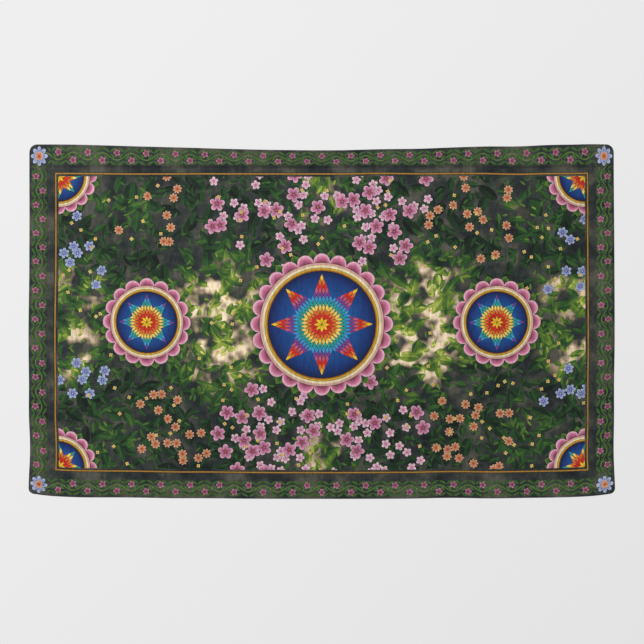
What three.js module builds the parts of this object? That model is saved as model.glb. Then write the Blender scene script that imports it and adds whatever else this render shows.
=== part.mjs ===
// A wide printed banner of plain-woven cloth, hung by its top edge against a flat surface.
// It is one length of cloth. Its four edges are turned to the back and stitched down as hems,
// so a band along each edge is thicker than the field. The top corners are held, so the top edge
// sags between them, the field bellies forward, and the stitching draws the lower corners up.
//
// Millimetres. +X is to the viewer's right, +Y is into the surface behind, and +Z is up.
// The origin is the middle of the top edge, in the plane of the surface behind.

import * as THREE from 'three';

// Finished size of the banner, laid flat
const WIDTH = 1524;
const HEIGHT = 914;
const HALF_WIDTH = WIDTH / 2;

// The sheet, and the bands where the cloth is turned to the back
const SHEET_THICK = 1.4;
const HEM_THICK = 2.6;
const TOP_HEM = 50;
const BOTTOM_HEM = 28;
const LEFT_HEM = 44;
const RIGHT_HEM = 37;
const HEM_EDGE_RUN = 3; // width over which the cloth steps down from a hem

// Corners, rounded by the turned and stitched cloth
const TOP_CORNER_RADIUS = 20;
const BOTTOM_CORNER_RADIUS = 12;

// Top edge: it sags between the two held corners
const TOP_SAG = 15.9;
const SAG_REACH = 743; // from the middle to where the edge is level again

// Bottom edge: a slight bow, and lower corners that are drawn up
const BOTTOM_DROP = 907.2; // of its middle, below the origin
const BOTTOM_BOW = 4.6;
const CORNER_LIFT = 12;
const CORNER_LIFT_FADE = 55; // distance along the edge in which the lift falls to 1/e

// Depth, towards the viewer
const BELLY = 17;
const BELLY_LOW_POINT = 0.56; // share of the height at which the belly is deepest
const TOP_EDGE_BULGE = 5; // of the sagging top edge, at its middle
const FOOT_SWING = 4; // of the free bottom edge
const CORNER_CURL = 9;
const CORNER_CURL_FADE = 62;

// Small waves of the four edges. at is the place along the edge, from the middle of the top and
// bottom edges and down from the top of the sides; out is away from the cloth, over a given width.
const EDGE_WAVES = {
  top: [
    { at: -480, width: 90, out: -0.8 },
    { at: 150, width: 60, out: 1.3 },
    { at: 372, width: 70, out: 0.9 },
    { at: 512, width: 45, out: -1.6 },
    { at: 705, width: 30, out: 0.7 },
  ],
  bottom: [
    { at: -500, width: 75, out: -1.3 },
    { at: -300, width: 60, out: -0.6 },
    { at: 328, width: 55, out: -1.4 },
    { at: 450, width: 45, out: 0.6 },
  ],
  left: [
    { at: 498, width: 95, out: 1.8 },
    { at: 690, width: 40, out: 0.9 },
    { at: 800, width: 48, out: -2.7 },
  ],
  right: [
    { at: 40, width: 90, out: -1.2 },
    { at: 455, width: 140, out: 0.8 },
    { at: 650, width: 70, out: -1.2 },
    { at: 800, width: 55, out: -2.5 },
  ],
};
const SIDE_WAVE_REACH = 260; // how far a side's waves run into the cloth

// Soft folds. Each runs from one place on the cloth to another, both as across (from the middle)
// and down (from the top edge), with a half width and a height towards the viewer.
const SOFT_FOLDS = [
  { across: -735, down: 25, toAcross: -330, toDown: 330, width: 62, height: 3.6 },
  { across: -745, down: 60, toAcross: -560, toDown: 560, width: 54, height: -2.8 },
  { across: 738, down: 25, toAcross: 290, toDown: 300, width: 70, height: 3.2 },
  { across: 742, down: 70, toAcross: 600, toDown: 620, width: 50, height: -3.0 },
  { across: -420, down: 880, toAcross: -210, toDown: 560, width: 85, height: 2.4 },
  { across: 470, down: 885, toAcross: 330, toDown: 520, width: 75, height: -2.2 },
  { across: -60, down: 20, toAcross: 20, toDown: 260, width: 90, height: -2.0 },
];
const FOLD_END_FADE = 0.22; // share of a fold's length over which each end dies away

// Spacing of the surface points
const CORNER_STEPS = [0, 6, 12, 20];
const COLUMN_PITCH = 36;
const ROW_PITCH = 40;

const BASE_COLOUR = '#3b403a'; // the print's average tone
const ROUGHNESS = 0.85;

const clamp01 = (value) => Math.min(1, Math.max(0, value));

const smooth = (value) => {
  const share = clamp01(value);
  return share * share * (3 - 2 * share);
};

// A soft bump of height 1 at distance 0, which has died away at two widths
function bump(distance, width) {
  const share = Math.abs(distance) / (2 * width);
  return share < 1 ? (0.5 + 0.5 * Math.cos(Math.PI * share)) : 0;
}

function edgeWave(edge, along) {
  return EDGE_WAVES[edge].reduce((sum, wave) => sum + wave.out * bump(along - wave.at, wave.width), 0);
}

function topEdgeHeight(across) {
  const share = Math.min(1, Math.abs(across) / SAG_REACH);
  return TOP_SAG * (0.5 - 0.5 * Math.cos(Math.PI * share)) + edgeWave('top', across);
}

function bottomEdgeHeight(across) {
  const fromSide = HALF_WIDTH - Math.abs(across);
  const bow = BOTTOM_BOW * (across / HALF_WIDTH) ** 2;
  const lift = CORNER_LIFT * Math.exp(-fromSide / CORNER_LIFT_FADE);
  return -BOTTOM_DROP + bow + lift - edgeWave('bottom', across);
}

// Height of a fold at a place on the cloth: full along its middle, dying away at its ends
function foldHeight(fold, across, down) {
  const run = [fold.toAcross - fold.across, fold.toDown - fold.down];
  const length = Math.hypot(run[0], run[1]);
  const offset = [across - fold.across, down - fold.down];
  const along = (offset[0] * run[0] + offset[1] * run[1]) / length ** 2;
  const beside = (offset[0] * run[1] - offset[1] * run[0]) / length;
  const ends = smooth(along / FOLD_END_FADE) * smooth((1 - along) / FOLD_END_FADE);
  return fold.height * ends * bump(beside, fold.width);
}

// How far a place on the cloth stands towards the viewer
function depthTowardsViewer(across, down) {
  const fromMiddle = across / HALF_WIDTH;
  const share = down / HEIGHT;
  const upper = smooth(share / BELLY_LOW_POINT);
  const lower = smooth((1 - share) / (1 - BELLY_LOW_POINT));
  const belly = BELLY * (share < BELLY_LOW_POINT ? upper : lower) * (1 - fromMiddle ** 2);
  const bulge = TOP_EDGE_BULGE * (1 - smooth(share * 2)) * Math.cos(fromMiddle * Math.PI / 2) ** 2;
  const swing = FOOT_SWING * smooth(share) * (0.7 + 0.3 * Math.cos(fromMiddle * Math.PI * 2.3));
  const fromCorner = Math.hypot(HALF_WIDTH - Math.abs(across), HEIGHT - down);
  const curl = CORNER_CURL * Math.exp(-fromCorner / CORNER_CURL_FADE);
  const folds = SOFT_FOLDS.reduce((sum, fold) => sum + foldHeight(fold, across, down), 0);
  return belly + bulge + swing + curl + folds;
}

// A corner of the flat cloth is drawn in to a quarter circle, without moving its inner sides
function roundedCorner(across, down) {
  const radius = down < HEIGHT / 2 ? TOP_CORNER_RADIUS : BOTTOM_CORNER_RADIUS;
  const centreAcross = HALF_WIDTH - radius;
  const centreDown = down < HEIGHT / 2 ? radius : HEIGHT - radius;
  const beyondAcross = Math.abs(across) - centreAcross;
  const beyondDown = (down - centreDown) * Math.sign(down - HEIGHT / 2);
  if (beyondAcross <= 0 || beyondDown <= 0) {
    return [across, down];
  }
  const arcAcross = beyondAcross * Math.sqrt(1 - 0.5 * (beyondDown / radius) ** 2);
  const arcDown = beyondDown * Math.sqrt(1 - 0.5 * (beyondAcross / radius) ** 2);
  return [
    Math.sign(across) * (centreAcross + arcAcross),
    centreDown + arcDown * Math.sign(down - HEIGHT / 2),
  ];
}

// Where a place on the flat cloth hangs. The back of a hem lies there.
function hungPlace(across, down) {
  const share = down / HEIGHT;
  const left = edgeWave('left', down) * bump(across + HALF_WIDTH, SIDE_WAVE_REACH / 2);
  const right = edgeWave('right', down) * bump(across - HALF_WIDTH, SIDE_WAVE_REACH / 2);
  const x = across - left + right;
  const z = topEdgeHeight(across) * (1 - share) + bottomEdgeHeight(across) * share;
  return new THREE.Vector3(x, -depthTowardsViewer(across, down), z);
}

// The doubled cloth of the hems stands proud on both faces. This is how far a face steps in from
// it: nothing on a hem, and all of the step once past the hem's inner edge.
function stepFromHem(across, down) {
  const insideHems = Math.min(
    across + HALF_WIDTH - LEFT_HEM,
    HALF_WIDTH - across - RIGHT_HEM,
    down - TOP_HEM,
    HEIGHT - down - BOTTOM_HEM,
  );
  return (HEM_THICK - SHEET_THICK) / 2 * clamp01(insideHems / HEM_EDGE_RUN + 0.5);
}

// Places across or down the cloth: close at the corners and at each hem's raw edge, even between
function gridStops(length, firstHem, lastHem, pitch) {
  const edgeStops = (hem) => [
    ...CORNER_STEPS,
    (CORNER_STEPS.at(-1) + hem) / 2,
    hem - HEM_EDGE_RUN / 2,
    hem + HEM_EDGE_RUN / 2,
  ];
  const first = edgeStops(firstHem);
  const last = edgeStops(lastHem).map((stop) => length - stop).reverse();
  const start = first.at(-1);
  const span = last[0] - start;
  const cells = Math.round(span / pitch);
  const between = Array.from({ length: cells - 1 }, (_, i) => start + span * (i + 1) / cells);
  return [...first, ...between, ...last];
}

function bannerGeometry() {
  const columns = gridStops(WIDTH, LEFT_HEM, RIGHT_HEM, COLUMN_PITCH).map((stop) => stop - HALF_WIDTH);
  const rows = gridStops(HEIGHT, TOP_HEM, BOTTOM_HEM, ROW_PITCH);
  const front = [];
  const back = [];
  for (const down of rows) {
    for (const across of columns) {
      const place = hungPlace(...roundedCorner(across, down));
      const step = stepFromHem(across, down);
      front.push(place.clone().setY(place.y - HEM_THICK + step));
      back.push(place.setY(place.y - step));
    }
  }
  const points = [...front, ...back];
  const index = [];
  const addQuad = (a, b, c, d) => {
    // split along the shorter diagonal, so the thin cells of a rounded corner stay sound
    if (points[a].distanceTo(points[c]) <= points[b].distanceTo(points[d])) {
      index.push(a, b, c, a, c, d);
    } else {
      index.push(a, b, d, b, c, d);
    }
  };
  const across = columns.length;
  const at = (row, column) => row * across + column;
  const behind = front.length;
  for (let row = 0; row < rows.length - 1; row += 1) {
    for (let column = 0; column < across - 1; column += 1) {
      const cell = [at(row, column), at(row + 1, column), at(row + 1, column + 1), at(row, column + 1)];
      addQuad(...cell);
      addQuad(...cell.map((point) => point + behind).reverse());
    }
  }

  // The rim, round the outline as seen from the front, clockwise
  const lastRow = rows.length - 1;
  const lastColumn = across - 1;
  const outline = [
    ...columns.slice(0, -1).map((_, i) => at(0, i)),
    ...rows.slice(0, -1).map((_, i) => at(i, lastColumn)),
    ...columns.slice(0, -1).map((_, i) => at(lastRow, lastColumn - i)),
    ...rows.slice(0, -1).map((_, i) => at(lastRow - i, 0)),
  ];
  outline.forEach((point, i) => {
    const next = outline[(i + 1) % outline.length];
    addQuad(point, next, next + behind, point + behind);
  });

  const geometry = new THREE.BufferGeometry().setFromPoints(points);
  geometry.setIndex(index);
  geometry.computeVertexNormals();
  return geometry;
}

const cloth = new THREE.MeshStandardMaterial({
  color: BASE_COLOUR,
  roughness: ROUGHNESS,
  metalness: 0,
});

const bannerCloth = new THREE.Mesh(bannerGeometry(), cloth);
bannerCloth.name = 'banner_cloth';

const banner = new THREE.Group();
banner.add(bannerCloth);

export default banner;
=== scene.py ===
"""A wide printed cloth banner, 5 ft by 3 ft, hung by its top edge.

It is put together as the real one is: the cloth is cut with an allowance all round, its edges are
turned to the back and stitched, and its front carries a dye print that follows the weave.
"""

import math

import bmesh
import bpy
from mathutils import Matrix, Vector, noise


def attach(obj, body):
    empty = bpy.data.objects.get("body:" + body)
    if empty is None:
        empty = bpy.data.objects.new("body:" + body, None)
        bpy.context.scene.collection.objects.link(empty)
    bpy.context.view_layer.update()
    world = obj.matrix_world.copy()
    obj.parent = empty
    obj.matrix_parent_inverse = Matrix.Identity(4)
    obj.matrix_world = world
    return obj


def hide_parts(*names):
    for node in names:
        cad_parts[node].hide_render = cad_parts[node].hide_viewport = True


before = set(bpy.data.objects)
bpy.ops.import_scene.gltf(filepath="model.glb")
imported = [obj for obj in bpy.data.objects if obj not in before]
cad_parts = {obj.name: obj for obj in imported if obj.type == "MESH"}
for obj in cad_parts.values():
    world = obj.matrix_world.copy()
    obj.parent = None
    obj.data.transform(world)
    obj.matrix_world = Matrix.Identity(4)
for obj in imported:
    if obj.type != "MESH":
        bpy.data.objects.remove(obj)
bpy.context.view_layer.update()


# The view
# The banner is seen square on, from far enough back that its edges look straight. The frame of
# the picture is a little wider than the cloth.
MM = 0.001
PICTURE_WIDTH = 1679 * MM  # of the picture, at the cloth
VIEW_DISTANCE = 4.0
VIEW_HEIGHT = -446.8 * MM  # of the picture's middle, from the top edge
VIEW_ACROSS = 0.5 * MM
SENSOR = 36.0

view_data = bpy.data.cameras.new("view")
view_data.sensor_width = SENSOR
view_data.lens = SENSOR * VIEW_DISTANCE / PICTURE_WIDTH
view = bpy.data.objects.new("view", view_data)
view.location = (VIEW_ACROSS, -VIEW_DISTANCE, VIEW_HEIGHT)
view.rotation_euler = (math.radians(90), 0, 0)
bpy.context.scene.collection.objects.link(view)
bpy.context.scene.camera = view


# The cloth
# One length of slub polyester banner cloth, cut with an allowance on every side. The side edges
# are turned to the back first and the top and bottom edges over them, each with its raw edge
# tucked in, and the hung cloth sags, bellies and folds as the solid does.
WIDTH, HEIGHT = 1524, 914  # finished, in mm, as are all sizes of the cloth
HALF_WIDTH = WIDTH / 2
CLOTH_THICK = 0.45
HEMS = {"left": 44, "right": 37, "top": 50, "bottom": 28}
HEM_TURN = 0.75  # radius of the fold along the finished edge
TUCK_TURN = 0.375  # radius of the fold that hides the raw edge
TUCK = 9
HEM_STEP = 1.9  # the field lies this much behind the face of a hem
HEM_STEP_RUN, HEM_STEP_LEAD = 9, 4.5  # length of the step, and how far before the fold it begins
HEM_RIDGE = 0.7  # the face of a hem swells beside the row of stitches
HEM_RIDGE_IN, HEM_RIDGE_WIDTH = 9, 4.5
HEM_FRONT = 2.2  # the face of a hem, before the surface that the banner hangs against
HEM_SETTLE = 7  # the top hem looks this much narrower in the middle, and wider at its ends
HEM_SETTLE_FADE = 300
BULK_FADE = 8  # from a side hem to where the top hem is thin again

TOP_CORNER_RADIUS, BOTTOM_CORNER_RADIUS = 20, 12
TOP_SAG, SAG_REACH = 15.9, 743
BOTTOM_DROP, BOTTOM_BOW = 907.2, 4.6
CORNER_LIFT, CORNER_LIFT_FADE = 12, 55
BELLY, BELLY_LOW_POINT = 17, 0.56
TOP_EDGE_BULGE, BULGE_END = 5, 0.5  # the bulge ends at this share of the height
FOOT_SWING, FOOT_SWING_EVEN, FOOT_SWING_TURNS = 4, 0.7, 2.3  # the foot hangs unevenly forward
CORNER_CURL, CORNER_CURL_FADE = 9, 62
SIDE_WAVE_REACH = 260
FOLD_END_FADE = 0.22  # share of a soft fold's length

EDGE_WAVES = {
    "top": [
        {"at": -480, "width": 90, "out": -0.8},
        {"at": 150, "width": 60, "out": 1.3},
        {"at": 372, "width": 70, "out": 0.9},
        {"at": 512, "width": 45, "out": -1.6},
        {"at": 705, "width": 30, "out": 0.7},
    ],
    "bottom": [
        {"at": -500, "width": 75, "out": -1.3},
        {"at": -300, "width": 60, "out": -0.6},
        {"at": 328, "width": 55, "out": -1.4},
        {"at": 450, "width": 45, "out": 0.6},
    ],
    "left": [
        {"at": 498, "width": 95, "out": 1.8},
        {"at": 690, "width": 40, "out": 0.9},
        {"at": 800, "width": 48, "out": -2.7},
    ],
    "right": [
        {"at": 40, "width": 90, "out": -1.2},
        {"at": 455, "width": 140, "out": 0.8},
        {"at": 650, "width": 70, "out": -1.2},
        {"at": 800, "width": 55, "out": -2.5},
    ],
}
SOFT_FOLDS = [
    {"start": (-735, 25), "end": (-330, 330), "width": 62, "height": 3.6},
    {"start": (-745, 60), "end": (-560, 560), "width": 54, "height": -2.8},
    {"start": (738, 25), "end": (290, 300), "width": 70, "height": 3.2},
    {"start": (742, 70), "end": (600, 620), "width": 50, "height": -3.0},
    {"start": (-420, 880), "end": (-210, 560), "width": 85, "height": 2.4},
    {"start": (470, 885), "end": (330, 520), "width": 75, "height": -2.2},
    {"start": (-60, 20), "end": (20, 260), "width": 90, "height": -2.0},
]

# Puckers that the stitching draws in along each hem, and the slack of the cloth between them
PUCKER, PUCKER_REACH = 0.32, 20
PUCKER_SHIFT = {"right": 400, "bottom": 250}  # so that opposite hems don't pucker alike
PUCKER_WAVES = [
    {"length": 34, "phase": 0.0, "share": 1.0},
    {"length": 53, "phase": 1.3, "share": 0.7},
    {"length": 81, "phase": 2.1, "share": 0.6},
]
SLACK, SLACK_LENGTH = 0.9, 150
STITCH_FROM_FOLD = 3.5  # the row of stitches, from the hem's inner fold
STITCH_DIP, STITCH_DIP_WIDTH = 0.2, 1.7

# The cloth is drawn as a grid, close near its corners and across the lines of its hems
FIELD_PITCH = 8.6
HEM_PITCH = 6.5
FOLD_CELLS, TUCK_FOLD_CELLS = 6, 4
CORNER_STOPS = (3, 6.5, 10, 14)  # from the finished edge
LINE_STOPS = (-11.5, -9, -6.6, -5, -3.5, -2, -0.6, 0.8, 2.2, 3.6, 5.2, 7.4)  # from the inner fold
ROW_STOPS = (-1.6, 0, 1.6)  # from the row of stitches, in the turned cloth
CLOTH_MAP = "cloth"


def smooth(value):
    share = min(1.0, max(0.0, value))
    return share * share * (3 - 2 * share)


def bump(distance, width):
    share = abs(distance) / (2 * width)
    return 0.5 + 0.5 * math.cos(math.pi * share) if share < 1 else 0.0


def edge_wave(edge, along):
    return sum(wave["out"] * bump(along - wave["at"], wave["width"]) for wave in EDGE_WAVES[edge])


def top_edge_height(across):
    share = min(1.0, abs(across) / SAG_REACH)
    return TOP_SAG * (0.5 - 0.5 * math.cos(math.pi * share)) + edge_wave("top", across)


def bottom_edge_height(across):
    bow = BOTTOM_BOW * (across / HALF_WIDTH) ** 2
    lift = CORNER_LIFT * math.exp(-(HALF_WIDTH - abs(across)) / CORNER_LIFT_FADE)
    return -BOTTOM_DROP + bow + lift - edge_wave("bottom", across)


def fold_height(fold, across, down):
    run = Vector(fold["end"]) - Vector(fold["start"])
    offset = Vector((across, down)) - Vector(fold["start"])
    along = offset.dot(run) / run.length_squared
    beside = (offset.x * run.y - offset.y * run.x) / run.length
    ends = smooth(along / FOLD_END_FADE) * smooth((1 - along) / FOLD_END_FADE)
    return fold["height"] * ends * bump(beside, fold["width"])


def depth_towards_viewer(across, down):
    from_middle = across / HALF_WIDTH
    share = down / HEIGHT
    rise = share / BELLY_LOW_POINT if share < BELLY_LOW_POINT else (1 - share) / (1 - BELLY_LOW_POINT)
    belly = BELLY * smooth(rise) * (1 - from_middle**2)
    bulge = TOP_EDGE_BULGE * (1 - smooth(share / BULGE_END)) * math.cos(from_middle * math.pi / 2) ** 2
    turn = from_middle * math.pi * FOOT_SWING_TURNS
    swing = FOOT_SWING * smooth(share) * (FOOT_SWING_EVEN + (1 - FOOT_SWING_EVEN) * math.cos(turn))
    from_corner = math.hypot(HALF_WIDTH - abs(across), HEIGHT - down)
    curl = CORNER_CURL * math.exp(-from_corner / CORNER_CURL_FADE)
    return belly + bulge + swing + curl + sum(fold_height(f, across, down) for f in SOFT_FOLDS)


def rounded_corner(across, down):
    """A place on square-cornered cloth, moved so that the square about a corner becomes its arc."""
    upper = down < HEIGHT / 2
    radius = TOP_CORNER_RADIUS if upper else BOTTOM_CORNER_RADIUS
    beyond_across = abs(across) - (HALF_WIDTH - radius)
    beyond_down = radius - down if upper else down - (HEIGHT - radius)
    if beyond_across <= 0 or beyond_down <= 0:
        return across, down
    arc_across = beyond_across * math.sqrt(1 - 0.5 * (beyond_down / radius) ** 2)
    arc_down = beyond_down * math.sqrt(1 - 0.5 * (beyond_across / radius) ** 2)
    across = math.copysign(HALF_WIDTH - radius + arc_across, across)
    return across, radius - arc_down if upper else HEIGHT - radius + arc_down


def from_hem_lines(across, down):
    """For each hem, the distance into the field from its inner fold, and the place along it."""
    return (
        (across + HALF_WIDTH - HEMS["left"], down),
        (HALF_WIDTH - across - HEMS["right"], down + PUCKER_SHIFT["right"]),
        (down - HEMS["top"], across),
        (HEIGHT - down - HEMS["bottom"], across + PUCKER_SHIFT["bottom"]),
    )


def relief(across, down, depth):
    """How far a layer of the cloth is pressed back by the hems, their stitches and its own slack."""
    lines = from_hem_lines(across, down)
    behind = SLACK * noise.noise(Vector((across, down, 0)) / SLACK_LENGTH)
    into_field = min(inside for inside, _ in lines)
    behind += HEM_STEP * smooth((into_field + HEM_STEP_LEAD) / HEM_STEP_RUN)
    # The thread draws the front back, and the layers behind it forward
    pull = max(-1.0, 1 - depth / (2 * (HEM_TURN - TUCK_TURN)))
    for inside, along in lines:
        if depth <= 0:
            behind -= HEM_RIDGE * math.exp(-(((inside + HEM_RIDGE_IN) / HEM_RIDGE_WIDTH) ** 2))
        near = inside + STITCH_FROM_FOLD
        ripple = sum(
            wave["share"] * math.sin(2 * math.pi * along / wave["length"] + wave["phase"])
            for wave in PUCKER_WAVES
        )
        behind += PUCKER * ripple * math.exp(-((near / PUCKER_REACH) ** 2))
        behind += STITCH_DIP * pull * math.exp(-((near / STITCH_DIP_WIDTH) ** 2))
    return behind


def top_hem_settle(across, down):
    """The fold of the top hem hangs nearly straight, while its edge sags between the corners."""
    share = smooth(down / HEMS["top"]) * (1 - smooth((down - HEMS["top"]) / HEM_SETTLE_FADE))
    return HEM_SETTLE * share * math.cos(math.pi * min(1.0, abs(across) / SAG_REACH))


def hung_place(across, down, depth):
    """Where a place on the flat, hemmed cloth hangs. depth is from the face of the hems."""
    behind = depth - HEM_FRONT + relief(across, down, depth)
    across, down = rounded_corner(across, down)
    share = down / HEIGHT
    left = edge_wave("left", down) * bump(across + HALF_WIDTH, SIDE_WAVE_REACH / 2)
    right = edge_wave("right", down) * bump(across - HALF_WIDTH, SIDE_WAVE_REACH / 2)
    up = top_edge_height(across) * (1 - share) + bottom_edge_height(across) * share
    up += top_hem_settle(across, down)
    return Vector((across - left + right, behind - depth_towards_viewer(across, down), up)) * MM


def hem_runs(hem):
    """Lengths of the cloth past the front: the fold, the leaf, the fold of the tuck, the tuck."""
    return math.pi * HEM_TURN, hem - HEM_TURN - TUCK_TURN, math.pi * TUCK_TURN, TUCK


def in_hem(past, hem, turn):
    """Distance in from the finished edge, and depth, of cloth this far past the front."""
    fold, leaf, tuck_fold, _ = hem_runs(hem)
    if past <= 0:
        return turn - past, 0.0
    if past < fold:
        angle = past / HEM_TURN
        return turn * (1 - math.sin(angle)), turn * (1 - math.cos(angle))
    past -= fold
    if past < leaf:
        return turn + past / leaf * (hem - turn - TUCK_TURN), 2 * turn
    past -= leaf
    if past < tuck_fold:
        angle = past / TUCK_TURN
        return hem - TUCK_TURN * (1 - math.sin(angle)), 2 * turn - TUCK_TURN * (1 - math.cos(angle))
    return hem - TUCK_TURN - (past - tuck_fold), 2 * (turn - TUCK_TURN)


def edge_stops(hem):
    """Places across one edge, from the raw edge inwards, as distances from the finished edge."""
    fold, leaf, tuck_fold, tuck = hem_runs(hem)
    row = leaf - STITCH_FROM_FOLD
    past = [fold * k / FOLD_CELLS for k in range(FOLD_CELLS + 1)]
    cells = round(row / HEM_PITCH)
    past += [fold + row * k / cells for k in range(1, cells)]
    past += [fold + row + offset for offset in ROW_STOPS]
    past += [fold + leaf + tuck_fold * k / TUCK_FOLD_CELLS for k in range(TUCK_FOLD_CELLS + 1)]
    past += [fold + leaf + tuck_fold + tuck / 2, fold + leaf + tuck_fold + tuck]
    inside = [HEM_TURN - p for p in sorted(past, reverse=True)]
    inside += CORNER_STOPS
    inside += [hem + stop for stop in LINE_STOPS]
    gap = hem + LINE_STOPS[0] - CORNER_STOPS[-1]
    cells = math.ceil(gap / HEM_PITCH)
    inside += [CORNER_STOPS[-1] + gap * k / cells for k in range(1, cells)]
    return sorted(round(stop, 4) for stop in inside)


def pattern_stops(length, first_hem, last_hem):
    first = edge_stops(first_hem)
    last = [length - stop for stop in reversed(edge_stops(last_hem))]
    cells = round((last[0] - first[-1]) / FIELD_PITCH)
    between = [first[-1] + (last[0] - first[-1]) * k / cells for k in range(1, cells)]
    return first + between + last


def folded_cloth(columns, rows):
    """The cut cloth as a grid, folded along its edges and hung. Its map is the flat cloth."""
    cloth = bmesh.new()
    bmesh.ops.create_grid(cloth, x_segments=len(columns) - 1, y_segments=len(rows) - 1, size=1)
    flat = {}
    for vert in cloth.verts:
        column = round((vert.co.x + 1) / 2 * (len(columns) - 1))
        row = round((1 - vert.co.y) / 2 * (len(rows) - 1))
        flat[vert] = (columns[column], rows[row])

    def past(place, length):
        return max(HEM_TURN - place, place - length + HEM_TURN)

    corners = [
        face
        for face in cloth.faces
        if min(past(flat[v][0], WIDTH) for v in face.verts) >= 0
        and min(past(flat[v][1], HEIGHT) for v in face.verts) >= 0
    ]
    bmesh.ops.delete(cloth, geom=corners, context="FACES")
    layer = cloth.loops.layers.uv.new(CLOTH_MAP)
    for face in cloth.faces:
        face.smooth = True
        for loop in face.loops:
            across, down = flat[loop.vert]
            loop[layer].uv = ((across - HALF_WIDTH) * MM, (HEIGHT / 2 - down) * MM)
    for vert in cloth.verts:
        across, down = flat[vert]
        side = "left" if across < HALF_WIDTH else "right"
        edge = "top" if down < HEIGHT / 2 else "bottom"
        inset, side_depth = in_hem(past(across, WIDTH), HEMS[side], HEM_TURN)
        bulk = 1 - smooth((inset - HEMS[side]) / BULK_FADE)
        drop, edge_depth = in_hem(past(down, HEIGHT), HEMS[edge], HEM_TURN * (1 + bulk))
        vert.co = hung_place(
            inset - HALF_WIDTH if side == "left" else HALF_WIDTH - inset,
            drop if edge == "top" else HEIGHT - drop,
            side_depth + edge_depth,
        )
    return cloth


columns = pattern_stops(WIDTH, HEMS["left"], HEMS["right"])
rows = pattern_stops(HEIGHT, HEMS["top"], HEMS["bottom"])
cloth = folded_cloth(columns, rows)
cloth_mesh = bpy.data.meshes.new("banner_cloth_printed")
cloth.to_mesh(cloth_mesh)
cloth.free()
banner = bpy.data.objects.new("banner_cloth_printed", cloth_mesh)
bpy.context.scene.collection.objects.link(banner)
thickness = banner.modifiers.new("cloth thickness", "SOLIDIFY")
thickness.thickness = CLOTH_THICK * MM
thickness.offset = 0
thickness.material_offset = 1
thickness.material_offset_rim = 1


# The print
# A generic design of leaves and blossoms, with patchwork stars in roundels and a vine round the
# edge. It is dyed into the front of the flat cloth before the hems are turned, so it is drawn in
# mm on that flat cloth, from its middle and with y upwards.
INK_EDGE = 0.5  # half the width over which one printed colour gives way to the next
BORDER = 76  # width of the border, from the finished edge
FIELD_ACROSS = HALF_WIDTH - BORDER
FIELD_UP = HEIGHT / 2 - BORDER
TIP_TURN = math.radians(22.5)  # from the line of a star's tip to the line between two tips

LINE_COLOUR = "#15181a"
GROUND_COLOURS = (
    (0.3, "#14181a"),
    (0.42, "#23292b"),
    (0.52, "#363a35"),
    (0.62, "#514f46"),
    (0.75, "#434a4e"),
)
GLOW_COLOURS = ((0.0, "#46513a"), (0.35, "#7d8440"), (0.65, "#c2a98a"), (1.0, "#f0dcbc"))
MOTTLE_SIZE, DAPPLE_SIZE = 70, 55
# Ranges of the noise or of the light, each with what it becomes where that isn't 0 to 1
MOTTLE_LIGHT = (0.55, 0.72, 0.0, 0.3)
DAPPLE_LIGHT = (0.36, 0.62, 0.3, 1.15)
ALL_LIGHT = (0.0, 1.1)
GLOW_LIGHT = (0.45, 0.85)
LEAF_COLOURS = (
    (0.0, "#0e1814"),
    (0.2, "#19301d"),
    (0.4, "#2a4e26"),
    (0.6, "#4c6c2a"),
    (0.8, "#87993a"),
    (1.0, "#c9c872"),
)
LEAF_DISORDER, BLOSSOM_DISORDER = 0.85, 0.6  # 0 sets the motifs in rows, 1 strews them freely
LEAVES = [
    {"spacing": 46, "length": 68, "width": 28, "shift": (3.1, 8.7, 0), "cover": 0.65, "base": 0.0},
    {"spacing": 31, "length": 44, "width": 18, "shift": (12.4, 1.9, 0), "cover": 0.5, "base": 0.05},
    {"spacing": 26, "length": 30, "width": 12, "shift": (5.5, 21.3, 0), "cover": 0.4, "base": 0.12},
    {"spacing": 17, "length": 17, "width": 7, "shift": (31.7, 6.2, 0), "cover": 0.25, "base": 0.2},
]
LEAF_TONE_SPREAD, LEAF_LIT = 0.2, 0.62  # what chance and the light add to a leaf's tone
LEAF_HALF_TONE = 0.07  # one half of a leaf is lighter by this, and the other darker
LEAF_RIB = (0.5, 1.4, 0.13, 0.0)  # its core and its edge, and what it adds to the tone there
POOL_CORE = 0.3  # share of its reach over which a pool of light is even
LIGHT_POOLS = [
    {"across": 265, "up": 60, "reach": 190, "strength": 1.0},
    {"across": 0, "up": 330, "reach": 150, "strength": 0.7},
    {"across": 650, "up": 70, "reach": 150, "strength": 0.8},
    {"across": 520, "up": 290, "reach": 120, "strength": 0.45},
]
ROSE = ((0.0, "#c89a34"), (0.16, "#6a2440"), (0.4, "#9c5676"), (0.8, "#bf809c"), (1.0, "#dcb0c2"))
PALE_ROSE = ((0.0, "#8a3a58"), (0.3, "#bd829c"), (1.0, "#dfc0cc"))
DEEP_ROSE = ((0.0, "#c0903c"), (0.18, "#4e1c32"), (0.5, "#80405c"), (1.0, "#b87c94"))
LAVENDER = ((0.0, "#e8d8a8"), (0.2, "#42478a"), (0.6, "#7d8cb8"), (1.0, "#adb6d2"))
SALMON = ((0.0, "#6a2c1c"), (0.3, "#a85c38"), (0.7, "#c08260"), (1.0, "#d8ac8c"))
GOLD = ((0.0, "#a84a20"), (0.4, "#c8a030"), (1.0, "#e0cc90"))
PETAL_NOTCH, PETAL_ROUNDNESS = 0.44, 0.45
BLOSSOM_RIM, BLOSSOM_RIM_DARK = 0.16, 0.8  # its width, as a share of the radius, and strength
BLOSSOM_CORE = 0.4  # share of the reach over which a kind of blossom grows densest
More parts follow.
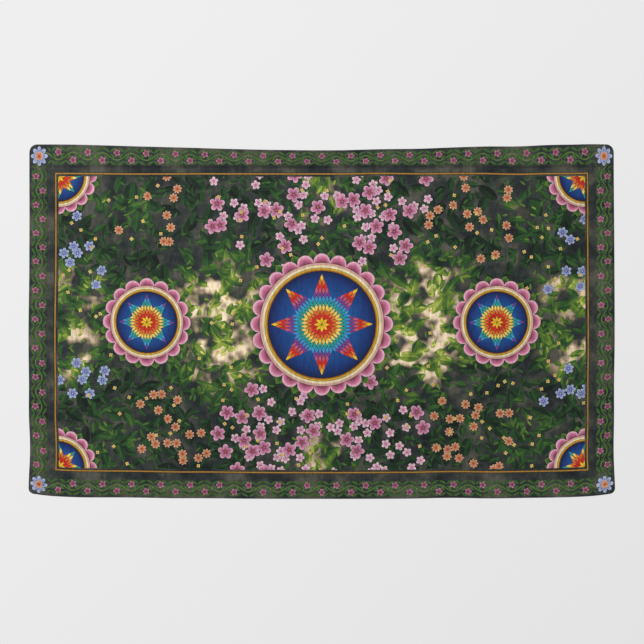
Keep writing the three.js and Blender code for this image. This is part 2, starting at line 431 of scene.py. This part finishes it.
BLOSSOMS = [
    {"spacing": 31, "radius": 12, "petals": 5, "shift": (7.3, 2.2, 0), "slant": 24,
     "colours": PALE_ROSE, "across": 130, "up": 320, "reach": 180, "cover": 0.5},
    {"spacing": 46, "radius": 20, "petals": 5, "shift": (1.8, 9.4, 0), "slant": -33,
     "colours": ROSE, "across": 160, "up": 320, "reach": 180, "cover": 0.6},
    {"spacing": 36, "radius": 14, "petals": 6, "shift": (4.6, 4.1, 0), "slant": 41,
     "colours": LAVENDER, "across": 640, "up": 170, "reach": 120, "cover": 0.45},
    {"spacing": 31, "radius": 12, "petals": 8, "shift": (9.9, 6.6, 0), "slant": -19,
     "colours": SALMON, "across": 400, "up": 290, "reach": 150, "cover": 0.35},
    {"spacing": 26, "radius": 5, "petals": 4, "shift": (2.7, 7.8, 0), "slant": 31,
     "colours": GOLD, "across": 0, "up": 0, "reach": 2600, "cover": 0.1},
]
STAR_COLOURS = (
    "#e0b428",
    "#c8281e",
    "#cf6a2a",
    "#dfc05c",
    "#24908a",
    "#3a8cba",
    "#6c3c88",
    "#b4546e",
    "#c8281e",
    "#cf6a2a",
    "#e0b428",
)
STAR_SEAM_EDGE, STAR_SEAM_CORE = 0.9, 0.4
ROUNDELS = [
    {"across": 0, "up": 0, "cell": 12, "cells": 6, "ring": 8, "petals": 24, "petal": 25},
    {"across": 455, "up": 0, "cell": 10, "cells": 4, "ring": 6, "petals": 16, "petal": 20},
    {"across": FIELD_ACROSS, "up": FIELD_UP, "cell": 11, "cells": 3, "ring": 6, "petals": 16,
     "petal": 19},
]
ROUNDEL_LINE = 1.2
ROUNDEL_BLUE = 0.8  # its edge, like those of the rings, from the star's tips in widths of a ring
ROUNDEL_RINGS = [
    {"edge": 3.5, "lined": True, "colour": "#c0988c"},
    {"edge": 2.7, "lined": False, "colour": "#dccda4"},
    {"edge": 1.8, "lined": True, "colour": "#c9a02c"},
    {"edge": 1.4, "lined": False, "colour": "#9c641e"},
]
LEAF_POINT_FOOT = 0.38  # of a petal's height
LEAF_POINT_TONES = (0.66, 0.2)
ROUNDEL_COLOURS =((0.0, "#1c6a9e"), (0.55, "#1a4c8a"), (0.85, "#16346e"), (1.0, "#0f1c42"))
PETAL_COLOURS = ((0.0, "#2e1420"), (0.08, "#e0aebf"), (0.4, "#bd6c8b"), (1.0, "#6b2340"))
VINE_MIDDLE, VINE_SWING = 26, 8  # from the finished edge
VINE_TURNS = {"top": 9, "side": 5}  # in half of an edge, between the corner squares
VINE_HALF_TURN = FIELD_UP / (2 * VINE_TURNS["side"])
VINE_STEM = {"edge": 2.0, "core": 1.0, "colour": "#54702c"}
VINE_LEAF_TONE = 0.4
VINE_LEAVES = [
    {"along": 10, "away": 15, "turn": 0.5, "length": 20, "width": 8},
    {"along": 10, "away": 1, "turn": -0.6, "length": 16, "width": 7},
]
VINE_BLOSSOM, VINE_BLOSSOM_AWAY, VINE_PETALS = 9, 9, 5
CORNER_BLOSSOM, CORNER_CLEAR, CORNER_PETALS = 22, 27, 8
VINE_END = 48  # nothing of the vine lies further in than this
GUARD_LINE = {"from": 67, "to": 70.5, "dark": 1.5, "colour": "#a0752f"}
STROKE_LENGTH, STROKE_WIDTH = 26, 7
STROKE_TONES = (0.3, 0.7, 0.78, 1.18)  # a range of the noise, and the colour's strength there


def linear(hex_colour):
    """An sRGB hex colour as linear red, green and blue, with alpha."""
    shares = [int(hex_colour[k : k + 2], 16) / 255 for k in (1, 3, 5)]
    light = [s / 12.92 if s <= 0.04045 else ((s + 0.055) / 1.055) ** 2.4 for s in shares]
    return (*light, 1.0)


def adder(tree):
    """Gives the function that adds one node to this tree, with its links and settings."""

    def add(kind, links=(), out=0, stops=(), steps=False, **settings):
        node = tree.nodes.new("ShaderNode" + kind)
        for name, value in settings.items():
            setattr(node, name, value)
        for key, value in links.items() if isinstance(links, dict) else enumerate(links):
            if isinstance(value, bpy.types.NodeSocket):
                tree.links.new(value, node.inputs[key])
            else:
                node.inputs[key].default_value = value
        if stops:
            ramp = node.color_ramp
            ramp.interpolation = "CONSTANT" if steps else "LINEAR"
            for place, _ in stops[2:]:
                ramp.elements.new(place)
            for element, (place, colour) in zip(ramp.elements, stops):
                element.position, element.color = place, linear(colour)
        return None if out is None else node.outputs[out]

    return add


def laid_on(add, mask, colour, ground):
    """The ground, with a colour printed on it where the mask is 1."""
    return add("Mix", {0: mask, 6: ground, 7: colour}, 2, data_type="RGBA")


def scattered(add, place, spacing, shift, disorder):
    """One motif to a cell. Gives the place in it, in mm and turned at random, three random numbers,
    and the place of the motif's middle on the cloth."""
    cells = add("VectorMath", (place, (1 / spacing,) * 3, shift), operation="MULTIPLY_ADD")
    cell = {"Vector": cells, "Scale": 1, "Randomness": disorder}
    middle = add("TexVoronoi", cell, "Position", voronoi_dimensions="2D")
    chances = add("SeparateColor", (middle.node.outputs["Color"],)).node.outputs
    offset = add("VectorMath", (cells, middle), operation="SUBTRACT")
    turn = add("Math", (chances[0], 2 * math.pi), operation="MULTIPLY")
    turned = add("VectorRotate", {"Vector": offset, "Angle": turn}, rotation_type="Z_AXIS")
    spot = add("VectorMath", {"Vector": turned, "Scale": spacing}, operation="SCALE")
    unshifted = add("VectorMath", (middle, shift), operation="SUBTRACT")
    middle = add("VectorMath", {"Vector": unshifted, "Scale": spacing}, operation="SCALE")
    return spot, chances, middle


def leaf_shape(add, place, length, width):
    """How far inside a pointed leaf a place is, and its height above and distance from the rib."""
    x_and_y = add("SeparateXYZ", (place,)).node.outputs
    reach = add("Math", (x_and_y[0], 2 / length), operation="MULTIPLY")
    squared = add("Math", (reach, reach), operation="MULTIPLY")
    half = add("Math", (squared, -width / 2, width / 2), operation="MULTIPLY_ADD")
    from_rib = add("Math", (x_and_y[1],), operation="ABSOLUTE")
    return add("Math", (half, from_rib), operation="SUBTRACT"), x_and_y[1], from_rib


def leaf(add, ground, place, grown, length, width, tone, lift):
    """A pointed leaf with a light rib and one darker half. lift is the light on it."""
    inside, above, from_rib = leaf_shape(add, place, length, width)
    shape = add("MapRange", (inside, -INK_EDGE, INK_EDGE))
    mask = add("Math", (shape, grown), operation="MULTIPLY")
    side = add("MapRange", (above, -1.0, 1.0, -LEAF_HALF_TONE, LEAF_HALF_TONE))
    rib = add("MapRange", (from_rib, *LEAF_RIB))
    tone = add("Math", (tone, side), operation="ADD")
    tone = add("Math", (tone, rib), operation="ADD")
    tone = add("Math", (tone, lift), operation="ADD")
    return laid_on(add, mask, add("ValToRGB", (tone,), stops=LEAF_COLOURS), ground)


def blossom(add, ground, place, grown, radius, petals, colours):
    """A round blossom of notched petals, printed over a dark edge."""
    x_and_y = add("SeparateXYZ", (place,)).node.outputs
    turn = add("Math", (x_and_y[1], x_and_y[0]), operation="ARCTAN2")
    distance = add("VectorMath", (place,), "Value", operation="LENGTH")
    off_petal = add("Math", (turn, math.pi / petals), operation="PINGPONG")
    notch = add("Math", (off_petal, PETAL_NOTCH * petals), operation="MULTIPLY")
    notch = add("Math", (notch,), operation="COSINE")
    notch = add("Math", (notch, PETAL_ROUNDNESS), operation="POWER")
    reach = add("Math", (notch, radius), operation="MULTIPLY")
    inside = add("Math", (reach, distance), operation="SUBTRACT")
    rim = add("MapRange", (inside, -BLOSSOM_RIM * radius, -INK_EDGE, 0.0, BLOSSOM_RIM_DARK))
    rim = add("Math", (rim, grown), operation="MULTIPLY")
    ground = laid_on(add, rim, linear(LINE_COLOUR), ground)
    shape = add("MapRange", (inside, -INK_EDGE, INK_EDGE))
    shape = add("Math", (shape, grown), operation="MULTIPLY")
    share = add("Math", (distance, reach), operation="DIVIDE")
    return laid_on(add, shape, add("ValToRGB", (share,), stops=colours), ground)


def leaf_layer(add, place, light, ground, spacing, length, width, shift, cover, base):
    spot, chances, _ = scattered(add, place, spacing, shift, LEAF_DISORDER)
    grown = add("Math", (chances[2], cover), operation="LESS_THAN")
    tone = add("Math", (chances[1], LEAF_TONE_SPREAD, base), operation="MULTIPLY_ADD")
    lift = add("Math", (light, LEAF_LIT), operation="MULTIPLY")
    return leaf(add, ground, spot, grown, length, width, tone, lift)


def blossom_layer(add, place, ground, layer):
    """Blossoms that grow densest in one area of each quarter. Each is whole or isn't there. Their
    cells lie slanted, so that no two kinds line up with each other or with the edges."""
    slant = math.radians(layer["slant"])
    slanted = add("VectorRotate", {"Vector": place, "Angle": slant}, rotation_type="Z_AXIS")
    spot, chances, middle = scattered(add, slanted, layer["spacing"], layer["shift"], BLOSSOM_DISORDER)
    middle = add("VectorRotate", {"Vector": middle, "Angle": -slant}, rotation_type="Z_AXIS")
    middle = add("VectorMath", (middle,), operation="ABSOLUTE")
    densest = (layer["across"], layer["up"], 0)
    away = add("VectorMath", (middle, densest), "Value", operation="DISTANCE")
    core = BLOSSOM_CORE * layer["reach"]
    likely = add("MapRange", (away, layer["reach"], core, 0.0, layer["cover"]))
    grown = add("Math", (chances[2], likely), operation="LESS_THAN")
    return blossom(add, ground, spot, grown, layer["radius"], layer["petals"], layer["colours"])


def patchwork_star(add, ground, distance, turn, cell, cells):
    """An eight-pointed star pieced from small diamonds in rings of colour, with dark seams."""
    off_tip = add("Math", (turn, TIP_TURN), operation="PINGPONG")
    along = add("Math", (add("Math", (off_tip,), operation="COSINE"), distance), operation="MULTIPLY")
    beside = add("Math", (add("Math", (off_tip,), operation="SINE"), distance), operation="MULTIPLY")
    # Two slanted counts from the star's middle. A diamond is where both keep their whole number.
    half_along = add("Math", (along, 0.5 / (cell * math.cos(TIP_TURN))), operation="MULTIPLY")
    half_beside = add("Math", (beside, 0.5 / (cell * math.sin(TIP_TURN))), operation="MULTIPLY")
    outer = add("Math", (half_along, half_beside), operation="ADD")
    inner = add("Math", (half_along, half_beside), operation="SUBTRACT")
    outer_cell = add("Math", (outer,), operation="FLOOR")
    inner_cell = add("Math", (inner,), operation="FLOOR")
    ring = add("Math", (outer_cell, inner_cell), operation="ADD")
    rings = 2 * cells - 1
    ring = add("MapRange", (ring, 0, rings, 0.5 / rings, 1 + 0.5 / rings))
    stops = [(k / rings, STAR_COLOURS[k]) for k in range(rings)]
    colour = add("ValToRGB", (ring,), stops=stops, steps=True)
    seam = add(
        "Math",
        (
            add("Math", (outer, 0.5), operation="PINGPONG"),
            add("Math", (inner, 0.5), operation="PINGPONG"),
        ),
        operation="MINIMUM",
    )
    seam = add("MapRange", (seam, STAR_SEAM_EDGE / cell, STAR_SEAM_CORE / cell))
    colour = laid_on(add, seam, linear(LINE_COLOUR), colour)
    shape = add("MapRange", (outer, cells + INK_EDGE / cell, cells - INK_EDGE / cell))
    return laid_on(add, shape, colour, ground)


def disc_laid_on(add, distance, radius, colour, ground):
    """The ground, with a disc of a colour printed on it."""
    mask = add("MapRange", (distance, radius + INK_EDGE, radius - INK_EDGE))
    return laid_on(add, mask, colour, ground)


def roundel(add, place, ground, across, up, cell, cells, ring, petals, petal):
    """A star on a blue ground, in a gold and a cream ring with a rim of petals and leaf points."""
    offset = add("VectorMath", (place, (across, up, 0)), operation="SUBTRACT")
    x_and_y = add("SeparateXYZ", (offset,)).node.outputs
    turn = add("Math", (x_and_y[1], x_and_y[0]), operation="ARCTAN2")
    distance = add("VectorMath", (offset,), "Value", operation="LENGTH")
    tip = 2 * cells * cell * math.cos(TIP_TURN)
    blue = tip + ROUNDEL_BLUE * ring
    rim = tip + ROUNDEL_RINGS[0]["edge"] * ring

    off_petal = add("Math", (turn, math.pi / petals), operation="PINGPONG")
    share = add("Math", (off_petal, petals / math.pi), operation="MULTIPLY")
    point = add("Math", (share, petal, rim + LEAF_POINT_FOOT * petal), operation="MULTIPLY_ADD")
    past_point = add("Math", (point, distance), operation="SUBTRACT")
    leaf_mask = add("MapRange", (past_point, -INK_EDGE, INK_EDGE))
    leaf_tone = add("MapRange", (past_point, 0, petal, *LEAF_POINT_TONES))
    ground = laid_on(add, leaf_mask, add("ValToRGB", (leaf_tone,), stops=LEAF_COLOURS), ground)

    squared = add("Math", (share, share), operation="MULTIPLY")
    round_petal = add("Math", (1.0, squared), operation="SUBTRACT")
    round_petal = add("Math", (round_petal,), operation="SQRT")
    edge = add("Math", (round_petal, petal, rim), operation="MULTIPLY_ADD")
    inside = add("Math", (edge, distance), operation="SUBTRACT")
    petal_mask = add("MapRange", (inside, -INK_EDGE, INK_EDGE))
    petal_share = add("Math", (inside, 1 / petal), operation="MULTIPLY")
    ground = laid_on(add, petal_mask, add("ValToRGB", (petal_share,), stops=PETAL_COLOURS), ground)

    line = linear(LINE_COLOUR)
    for one in ROUNDEL_RINGS:
        outside = tip + one["edge"] * ring
        if one["lined"]:
            ground = disc_laid_on(add, distance, outside + ROUNDEL_LINE, line, ground)
        ground = disc_laid_on(add, distance, outside, linear(one["colour"]), ground)
    ground = disc_laid_on(add, distance, blue + ROUNDEL_LINE, line, ground)
    blue_share = add("Math", (distance, 1 / blue), operation="MULTIPLY")
    blues = add("ValToRGB", (blue_share,), stops=ROUNDEL_COLOURS)
    ground = disc_laid_on(add, distance, blue, blues, ground)
    return patchwork_star(add, ground, distance, turn, cell, cells)


def vine_border(add, quarter, border_ground, ground):
    """A dark band along the edges, with a winding vine, its leaves and blossoms, and a guard line."""
    to_edge = add("VectorMath", ((HALF_WIDTH, HEIGHT / 2, 0), quarter), operation="SUBTRACT")
    to_edges = add("SeparateXYZ", (to_edge,)).node.outputs
    x_and_y = add("SeparateXYZ", (quarter,)).node.outputs
    out = add("Math", (to_edges[0], to_edges[1]), operation="MINIMUM")
    on_top = add("Math", (to_edges[1], to_edges[0]), operation="LESS_THAN")
    top_turns = add("Math", (x_and_y[0], 2 * VINE_TURNS["top"] / FIELD_ACROSS), operation="MULTIPLY")
    side_turns = add("Math", (x_and_y[1], 2 * VINE_TURNS["side"] / FIELD_UP), operation="MULTIPLY")
    turns = add("Mix", {0: on_top, 2: side_turns, 3: top_turns}, 0)

    band = add("MapRange", (out, BORDER + INK_EDGE, BORDER - INK_EDGE))
    ground = laid_on(add, band, border_ground, ground)
    angle = add("Math", (turns, math.pi), operation="MULTIPLY")
    swing = add("Math", (angle,), operation="COSINE")
    middle = add("Math", (swing, VINE_SWING, VINE_MIDDLE), operation="MULTIPLY_ADD")
    off_vine = add("Math", (out, middle), operation="SUBTRACT")
    off_vine = add("Math", (off_vine,), operation="ABSOLUTE")
    stem = add("MapRange", (off_vine, VINE_STEM["edge"], VINE_STEM["core"]))
    ground = laid_on(add, stem, linear(VINE_STEM["colour"]), ground)

    # In each half turn, the place along it, and away from its middle to where the vine swings
    shifted = add("Math", (turns, 0.5), operation="ADD")
    number = add("Math", (shifted,), operation="FLOOR")
    odd = add("Math", (number, 2.0), operation="MODULO")
    side = add("Math", (odd, -2.0, 1.0), operation="MULTIPLY_ADD")
    along = add("Math", (shifted,), operation="FRACT")
    along = add("Math", (along, VINE_HALF_TURN, -VINE_HALF_TURN / 2), operation="MULTIPLY_ADD")
    away = add("Math", (out, VINE_MIDDLE), operation="SUBTRACT")
    away = add("Math", (away, side), operation="MULTIPLY")
    spot = add("CombineXYZ", (along, away, 0.0))
    mirrored = add("VectorMath", (spot,), operation="ABSOLUTE")
    in_band = add("MapRange", (out, VINE_END + 2 * INK_EDGE, VINE_END))
    corner = (HALF_WIDTH - VINE_MIDDLE, HEIGHT / 2 - VINE_MIDDLE, 0)
    from_corner = add("VectorMath", (quarter, corner), "Value", operation="DISTANCE")
    off_corner = add("MapRange", (from_corner, CORNER_CLEAR, CORNER_CLEAR + 2 * INK_EDGE))
    in_band = add("Math", (in_band, off_corner), operation="MULTIPLY")
    for one in VINE_LEAVES:
        leaf_middle = (one["along"], one["away"], 0)
        offset = add("VectorMath", (mirrored, leaf_middle), operation="SUBTRACT")
        turning = {"Vector": offset, "Angle": one["turn"]}
        turned = add("VectorRotate", turning, rotation_type="Z_AXIS")
        length, width = one["length"], one["width"]
        ground = leaf(add, ground, turned, in_band, length, width, VINE_LEAF_TONE, 0.0)
    bloom = add("VectorMath", (spot, (0, -VINE_BLOSSOM_AWAY, 0)), operation="SUBTRACT")
    ground = blossom(add, ground, bloom, in_band, VINE_BLOSSOM, VINE_PETALS, DEEP_ROSE)
    bloom = add("VectorMath", (quarter, corner), operation="SUBTRACT")
    ground = blossom(add, ground, bloom, band, CORNER_BLOSSOM, CORNER_PETALS, LAVENDER)
    ground = blossom(add, ground, bloom, band, CORNER_BLOSSOM / 2, CORNER_PETALS, SALMON)

    for spread, colour in ((GUARD_LINE["dark"], LINE_COLOUR), (0, GUARD_LINE["colour"])):
        near, far = GUARD_LINE["from"] - spread, GUARD_LINE["to"] + spread
        mask = add("Math", (out, (near + far) / 2, (far - near) / 2), operation="COMPARE")
        ground = laid_on(add, mask, linear(colour), ground)
    return ground


def printed_design():
    """The design as a group of nodes that gives the colour of the print at each place."""
    tree = bpy.data.node_groups.new("leaf and blossom print", "ShaderNodeTree")
    tree.interface.new_socket("Color", in_out="OUTPUT", socket_type="NodeSocketColor")
    add = adder(tree)
    flat_cloth = add("UVMap", uv_map=CLOTH_MAP)
    place = add("VectorMath", {"Vector": flat_cloth, "Scale": 1 / MM}, operation="SCALE")
    quarter = add("VectorMath", (place,), operation="ABSOLUTE")

    mottling = {"Vector": place, "Scale": 1 / MOTTLE_SIZE, "Detail": 5, "Roughness": 0.62}
    mottle = add("TexNoise", mottling)
    stone = add("ValToRGB", (mottle,), stops=GROUND_COLOURS)
    dappling = {"Vector": place, "Scale": 1 / DAPPLE_SIZE, "Detail": 2, "Roughness": 0.5}
    dapple = add("TexNoise", dappling)
    dapple = add("MapRange", (dapple, *DAPPLE_LIGHT))
    light = add("MapRange", (mottle, *MOTTLE_LIGHT))
    for pool in LIGHT_POOLS:
        middle = (pool["across"], pool["up"], 0)
        away = add("VectorMath", (quarter, middle), "Value", operation="DISTANCE")
        core = POOL_CORE * pool["reach"]
        glow = add("MapRange", (away, pool["reach"], core, 0, pool["strength"]))
        light = add("Math", (glow, dapple, light), operation="MULTIPLY_ADD")
    light = add("MapRange", (light, *ALL_LIGHT))
    glow = add("MapRange", (light, *GLOW_LIGHT))
    ground = laid_on(add, glow, add("ValToRGB", (light,), stops=GLOW_COLOURS), stone)

    for layer in LEAVES:
        ground = leaf_layer(add, place, light, ground, **layer)
    for layer in BLOSSOMS:
        ground = blossom_layer(add, place, ground, layer)
    for one in ROUNDELS:
        ground = roundel(add, quarter, ground, **one)
    ground = vine_border(add, quarter, stone, ground)

    strokes = add("VectorMath", (place, (1 / STROKE_WIDTH, 1 / STROKE_LENGTH, 1)), operation="MULTIPLY")
    strokes = add("TexNoise", {"Vector": strokes, "Scale": 1, "Detail": 2, "Roughness": 0.6})
    strokes = add("MapRange", (strokes, *STROKE_TONES))
    ground = add("VectorMath", {0: ground, "Scale": strokes}, operation="SCALE")

    output = tree.nodes.new("NodeGroupOutput")
    tree.links.new(ground, output.inputs[0])
    return tree


design = printed_design()


# The weave
# Plain-woven polyester with thicker yarns here and there in both directions. The real yarns lie
# 0.5 mm apart, too fine for the picture, so only the thick ones are drawn, at 2 mm rather than 1.
YARN_WIDTH = 2.1
ACROSS_YARN, DOWN_YARN = 70, 55  # length over which a thick yarn keeps its thickness
YARN_TONE = 0.11
YARN_HEIGHT = 0.5
BACK_YARN = "#e4e3de"
HAZE = 0.2  # specular level of the yarn


def weave(add):
    """How light the yarns are at each place, and how high they stand."""
    flat_cloth = add("UVMap", uv_map=CLOTH_MAP)
    tones = []
    for width, height in ((ACROSS_YARN, YARN_WIDTH), (YARN_WIDTH, DOWN_YARN)):
        scale = (1 / (width * MM), 1 / (height * MM), 1)
        yarns = add("VectorMath", (flat_cloth, scale), operation="MULTIPLY")
        tones.append(add("TexNoise", {"Vector": yarns, "Scale": 1, "Detail": 1, "Roughness": 0.5}))
    yarn = add("Math", tones, operation="ADD")
    tone = add("Math", (yarn, YARN_TONE, 1 - YARN_TONE), operation="MULTIPLY_ADD")
    relief = add("Bump", {"Strength": 1.0, "Distance": YARN_HEIGHT * MM, "Height": yarn})
    return tone, relief


def cloth_face(name, see_through):
    """A face of the cloth: the print, or the white yarn of the back with the print faint in it."""
    material = bpy.data.materials.new(name)
    material.use_nodes = True
    tree = material.node_tree
    tree.nodes.clear()
    add = adder(tree)
    tone, relief = weave(add)
    colour = add("Group", node_tree=design)
    if see_through < 1:
        colour = laid_on(add, see_through, colour, linear(BACK_YARN))
    colour = add("VectorMath", {0: colour, "Scale": tone}, operation="SCALE")
    shader = add(
        "BsdfPrincipled",
        {
            "Base Color": colour,
            "Roughness": 0.72,
            "Specular IOR Level": HAZE,
            "Sheen Weight": 0.04,
            "Sheen Roughness": 0.5,
            "Normal": relief,
        },
    )
    add("OutputMaterial", (shader,), None)
    return material


# The front is dyed right into matt polyester, which leaves a faint haze on its darks. On the back
# the dye is seen through the cloth, as a pale ghost of the print.
cloth_mesh.materials.append(cloth_face("dye_printed_slub_polyester", see_through=1))
cloth_mesh.materials.append(cloth_face("unprinted_polyester_back", see_through=0.3))

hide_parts("banner_cloth")
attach(banner, "root")


# The stitching
# One row of charcoal spun polyester lockstitch along each hem, near its inner fold. The needle
# goes through all the layers, so the row lies sunk in both the front and the back of the cloth.
STITCH_PITCH, STITCH_LENGTH = 3.8, 3.1
THREAD_WIDTH = 0.55
ROW_END = 6  # from the finished edge to the end of a row
THREAD_LIFT = CLOTH_THICK / 2 + 0.13  # from the middle of the cloth to that of the thread
THREAD_TONES = ((0.3, "#26292a"), (0.7, "#4a4d4b"))
FIBRE_LENGTH, FUZZ = 2.5, 0.1


def on_row(edge, along):
    """The place on the flat cloth, this far along the row of stitches of one edge."""
    from_edge = HEMS[edge] - STITCH_FROM_FOLD
    if edge in ("left", "right"):
        return (from_edge - HALF_WIDTH if edge == "left" else HALF_WIDTH - from_edge), along
    return along, (from_edge if edge == "top" else HEIGHT - from_edge)


def back_of_hem(edge, along):
    """Depth of the turned cloth, which is more where the top and bottom hems cover the side hems."""
    bulk = 0.0
    if edge in ("top", "bottom"):
        side = "left" if along < 0 else "right"
        bulk = 1 - smooth((HALF_WIDTH - abs(along) - HEMS[side]) / BULK_FADE)
    return 2 * HEM_TURN * (1 + bulk)


def sew_row(threads, edge, on_back):
    """Adds a row of stitches, each a slim oval that lies along the row. On the back, the rows of
    the side hems end under the top and bottom hems."""
    first, last = ROW_END - HALF_WIDTH, HALF_WIDTH - ROW_END
    if edge in ("left", "right"):
        first, last = ROW_END, HEIGHT - ROW_END
        if on_back:
            first, last = HEMS["top"] + STITCH_PITCH, HEIGHT - HEMS["bottom"] - STITCH_PITCH
    count = round((last - first) / STITCH_PITCH)
    for k in range(count):
        along = first + (last - first) * (k + 0.5) / count
        depth = back_of_hem(edge, along) + THREAD_LIFT if on_back else -THREAD_LIFT
        middle = hung_place(*on_row(edge, along), depth)
        ahead = hung_place(*on_row(edge, along + 1), depth) - middle
        outward = Vector((0, 1 if on_back else -1, 0))
        length = ahead.normalized() * STITCH_LENGTH * MM
        across = ahead.cross(outward).normalized() * THREAD_WIDTH * MM
        height = length.cross(across).normalized() * THREAD_WIDTH * MM
        placed = Matrix((length, across, height)).transposed().to_4x4()
        placed.translation = middle
        bmesh.ops.create_icosphere(threads, subdivisions=1, radius=0.5, matrix=placed)


threads = bmesh.new()
for edge in HEMS:
    sew_row(threads, edge, on_back=False)
    sew_row(threads, edge, on_back=True)
bmesh.ops.recalc_face_normals(threads, faces=threads.faces)
for face in threads.faces:
    face.smooth = True
stitch_mesh = bpy.data.meshes.new("hem_stitching")
threads.to_mesh(stitch_mesh)
threads.free()
stitching = bpy.data.objects.new("hem_stitching", stitch_mesh)
bpy.context.scene.collection.objects.link(stitching)

# Spun polyester is matt and slightly fuzzy, so the thread varies in tone along its length
thread = bpy.data.materials.new("spun_polyester_thread")
thread.use_nodes = True
thread.node_tree.nodes.clear()
add = adder(thread.node_tree)
place = add("TexCoord", out="Object")
fibres = add("TexNoise", {"Vector": place, "Scale": 1 / (FIBRE_LENGTH * MM), "Detail": 2})
tone = add("ValToRGB", (fibres,), stops=THREAD_TONES)
fuzz = add("Bump", {"Strength": 0.5, "Distance": FUZZ * MM, "Height": fibres})
spun = {"Base Color": tone, "Roughness": 0.85, "Sheen Weight": 0.1, "Normal": fuzz}
add("OutputMaterial", (add("BsdfPrincipled", spun),), None)
stitch_mesh.materials.append(thread)

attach(stitching, "root")

# What the hems take of the cut cloth, across and down. Its corners are cut away under the hems
across_hems = sum(hem_runs(HEMS["left"])) + sum(hem_runs(HEMS["right"]))
down_hems = sum(hem_runs(HEMS["top"])) + sum(hem_runs(HEMS["bottom"]))


# The floor
# A plain pale floor, well below the banner and out of the picture, so that a view from another
# side has ground under it. It is painted screed, matt and even.
FLOOR_DROP, FLOOR_RADIUS = 1750 * MM, 2050 * MM
FLOOR_GREY = "#a9a8a5"

floor_mesh = bpy.data.meshes.new("floor")
disc = bmesh.new()
under = Matrix.Translation((0, 0, -FLOOR_DROP))
bmesh.ops.create_circle(disc, cap_ends=True, segments=96, radius=FLOOR_RADIUS, matrix=under)
disc.to_mesh(floor_mesh)
disc.free()
floor = bpy.data.objects.new("floor", floor_mesh)
bpy.context.scene.collection.objects.link(floor)
paint = bpy.data.materials.new("matt_floor_paint")
paint.use_nodes = True
paint.node_tree.nodes.clear()
add = adder(paint.node_tree)
dry_coat = {"Base Color": linear(FLOOR_GREY), "Roughness": 0.9}
add("OutputMaterial", (add("BsdfPrincipled", dry_coat),), None)
floor_mesh.materials.append(paint)


# The light
# A large soft lamp far off at the upper left, in front, one like it behind for the back, and a
# pale room. The room is a little darker to the lower right, and looks brighter than it lights.
ROOM_LIGHT = 0.27
ROOM_SLANT, ROOM_PALENESS = (-0.3, 0.4), (0.863, 0.77)  # at the upper left, and the lower right
LAMPS = [
    {"name": "front_lamp", "place": (-3.9, -4.7, 6.0), "power": 1030, "size": 1.8},
    {"name": "back_lamp", "place": (4.0, 5.2, 5.6), "power": 740, "size": 1.8},
]
CLOTH_MIDDLE = Vector((0, 0, -0.45))

world = bpy.data.worlds.new("room")
world.use_nodes = True
tree = world.node_tree
tree.nodes.clear()
add = adder(tree)
direction = add("TexCoord", out="Generated")
parts = add("SeparateXYZ", (direction,)).node.outputs
slant = add("Math", (parts[0], parts[2]), operation="SUBTRACT")
paleness = add("MapRange", (slant, *ROOM_SLANT, *ROOM_PALENESS))
seen = add("Background", {"Color": paleness, "Strength": 1.0})
lighting = add("Background", {"Color": linear("#ffffff"), "Strength": ROOM_LIGHT})
camera_ray = add("LightPath", out="Is Camera Ray")
add("OutputWorld", (add("MixShader", (camera_ray, lighting, seen)),), None)
bpy.context.scene.world = world
bpy.context.scene.view_settings.view_transform = "Standard"

for lamp in LAMPS:
    lamp_data = bpy.data.lights.new(lamp["name"], "AREA")
    lamp_data.energy = lamp["power"]
    lamp_data.size = lamp["size"]
    lamp_object = bpy.data.objects.new(lamp["name"], lamp_data)
    lamp_object.location = lamp["place"]
    beam = CLOTH_MIDDLE - Vector(lamp["place"])
    lamp_object.rotation_euler = beam.to_track_quat("-Z", "Y").to_euler()
    bpy.context.scene.collection.objects.link(lamp_object)
